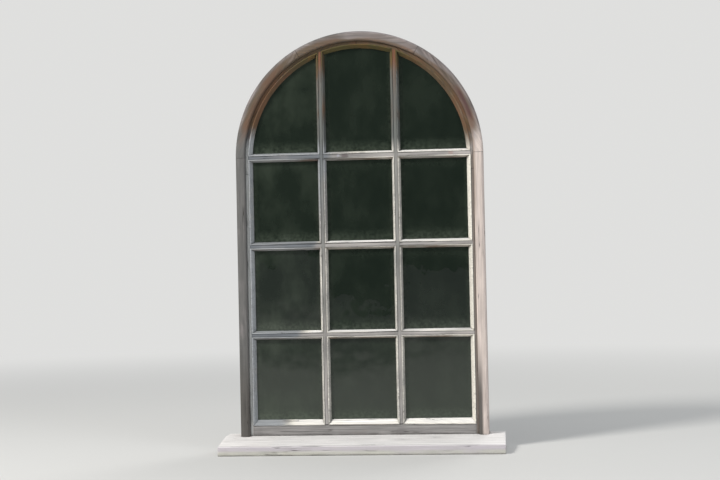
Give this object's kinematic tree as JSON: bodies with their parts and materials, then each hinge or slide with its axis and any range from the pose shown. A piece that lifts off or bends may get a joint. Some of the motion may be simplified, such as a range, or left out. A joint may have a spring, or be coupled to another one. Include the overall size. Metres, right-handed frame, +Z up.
{
  "type": "round-headed fixed timber window",
  "caption": "Round-headed fixed timber window with divided lights, glazing bars, mitred beads, an arched frame and a projecting sloped sill.",
  "frame": {"origin": "on the window's centre line, on the sill's underside, in the plane of the frame's outdoor face", "axes": "+Z up, -Y outdoors, +X to the right seen from outdoors"},
  "size_m": [1.036, 0.246, 1.545],
  "materials": {
    "sill_timber": "bare weathered softwood, bleached pale grey",
    "frame_timber": "bare weathered timber, silver grey, browner where sheltered",
    "sash_timber": "bare weathered timber, silver grey, browner where sheltered",
    "bead_timber": "bare weathered timber, paler than the sash",
    "inner_timber": "bare indoor timber, brown",
    "tongue_timber": "bare timber",
    "glass": "clear float glass, looking dark",
    "screw_steel": "dull plated steel"
  },
  "bodies": {
    "root": {"cross_bar_lower_centre": "sash_timber", "cross_bar_lower_left": "sash_timber", "cross_bar_lower_right": "sash_timber", "cross_bar_middle_centre": "sash_timber", "cross_bar_middle_left": "sash_timber", "cross_bar_middle_right": "sash_timber", "cross_bar_upper_centre": "sash_timber", "cross_bar_upper_left": "sash_timber", "cross_bar_upper_right": "sash_timber", "frame_head_crown": "frame_timber", "frame_head_left": "frame_timber", "frame_head_right": "frame_timber", "frame_head_tongues": "tongue_timber", "glazing_beads_arch_centre": "bead_timber", "glazing_beads_arch_left": "bead_timber", "glazing_beads_arch_right": "bead_timber", "glazing_beads_lower_centre": "bead_timber", "glazing_beads_lower_left": "bead_timber", "glazing_beads_lower_right": "bead_timber", "glazing_beads_middle_centre": "bead_timber", "glazing_beads_middle_left": "bead_timber", "glazing_beads_middle_right": "bead_timber", "glazing_beads_upper_centre": "bead_timber", "glazing_beads_upper_left": "bead_timber", "glazing_beads_upper_right": "bead_timber", "jamb_left": "frame_timber", "jamb_right": "frame_timber", "pane_arch_centre": "glass", "pane_arch_left": "glass", "pane_arch_right": "glass", "pane_lower_centre": "glass", "pane_lower_left": "glass", "pane_lower_right": "glass", "pane_middle_centre": "glass", "pane_middle_left": "glass", "pane_middle_right": "glass", "pane_upper_centre": "glass", "pane_upper_left": "glass", "pane_upper_right": "glass", "sash_bottom_rail": "sash_timber", "sash_head_left": "sash_timber", "sash_head_right": "sash_timber", "sash_head_tongue": "tongue_timber", "sash_stile_left": "sash_timber", "sash_stile_right": "sash_timber", "sill": "sill_timber", "stop_bead_head_left": "inner_timber", "stop_bead_head_right": "inner_timber", "stop_bead_left": "inner_timber", "stop_bead_right": "inner_timber", "stop_bead_screws": "screw_steel", "stop_bead_sill": "inner_timber", "upright_bar_left": "sash_timber", "upright_bar_right": "sash_timber"}
  },
  "joints": []
}
